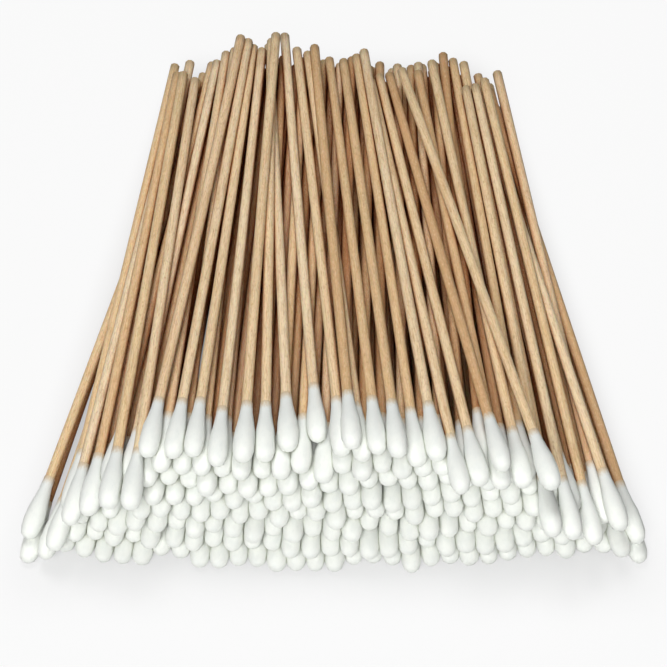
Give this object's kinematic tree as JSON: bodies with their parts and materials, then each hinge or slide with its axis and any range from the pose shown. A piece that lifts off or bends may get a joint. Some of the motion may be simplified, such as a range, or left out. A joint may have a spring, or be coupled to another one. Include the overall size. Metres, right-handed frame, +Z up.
{
  "type": "cotton swab pack",
  "caption": "Loose heap of long cotton swabs with wooden sticks, fanned out on a table with all the cotton tips at the front, for cleaning and dabbing.",
  "frame": {"origin": "on the table, under the middle of the heap's bounding box", "axes": "+X to the right, +Y away from the viewer, from the cotton tips to the bare sticks, +Z up"},
  "size_m": [0.1584, 0.1732, 0.0428],
  "materials": {
    "wood": "matte",
    "cotton": "soft matte"
  },
  "bodies": {
    "root": {"left_end_cotton_buds": "cotton", "left_end_sticks": "wood", "right_end_cotton_buds": "cotton", "right_end_sticks": "wood", "row_1_cotton_buds": "cotton", "row_1_sticks": "wood", "row_2_cotton_buds": "cotton", "row_2_sticks": "wood", "row_3_cotton_buds": "cotton", "row_3_sticks": "wood", "row_4_cotton_buds": "cotton", "row_4_sticks": "wood", "row_5_cotton_buds": "cotton", "row_5_sticks": "wood", "row_6_cotton_buds": "cotton", "row_6_sticks": "wood", "row_7_cotton_buds": "cotton", "row_7_sticks": "wood", "top_01_cotton_bud": "cotton", "top_01_stick": "wood", "top_02_cotton_bud": "cotton", "top_02_stick": "wood", "top_03_cotton_bud": "cotton", "top_03_stick": "wood", "top_04_cotton_bud": "cotton", "top_04_stick": "wood", "top_05_cotton_bud": "cotton", "top_05_stick": "wood", "top_06_cotton_bud": "cotton", "top_06_stick": "wood", "top_07_cotton_bud": "cotton", "top_07_stick": "wood", "top_08_cotton_bud": "cotton", "top_08_stick": "wood", "top_09_cotton_bud": "cotton", "top_09_stick": "wood", "top_10_cotton_bud": "cotton", "top_10_stick": "wood", "top_11_cotton_bud": "cotton", "top_11_stick": "wood", "top_12_cotton_bud": "cotton", "top_12_stick": "wood", "top_13_cotton_bud": "cotton", "top_13_stick": "wood", "top_14_cotton_bud": "cotton", "top_14_stick": "wood", "top_15_cotton_bud": "cotton", "top_15_stick": "wood", "top_16_cotton_bud": "cotton", "top_16_stick": "wood", "top_17_cotton_bud": "cotton", "top_17_stick": "wood", "top_18_cotton_bud": "cotton", "top_18_stick": "wood", "top_19_cotton_bud": "cotton", "top_19_stick": "wood", "top_20_cotton_bud": "cotton", "top_20_stick": "wood", "top_21_cotton_bud": "cotton", "top_21_stick": "wood"}
  },
  "joints": []
}
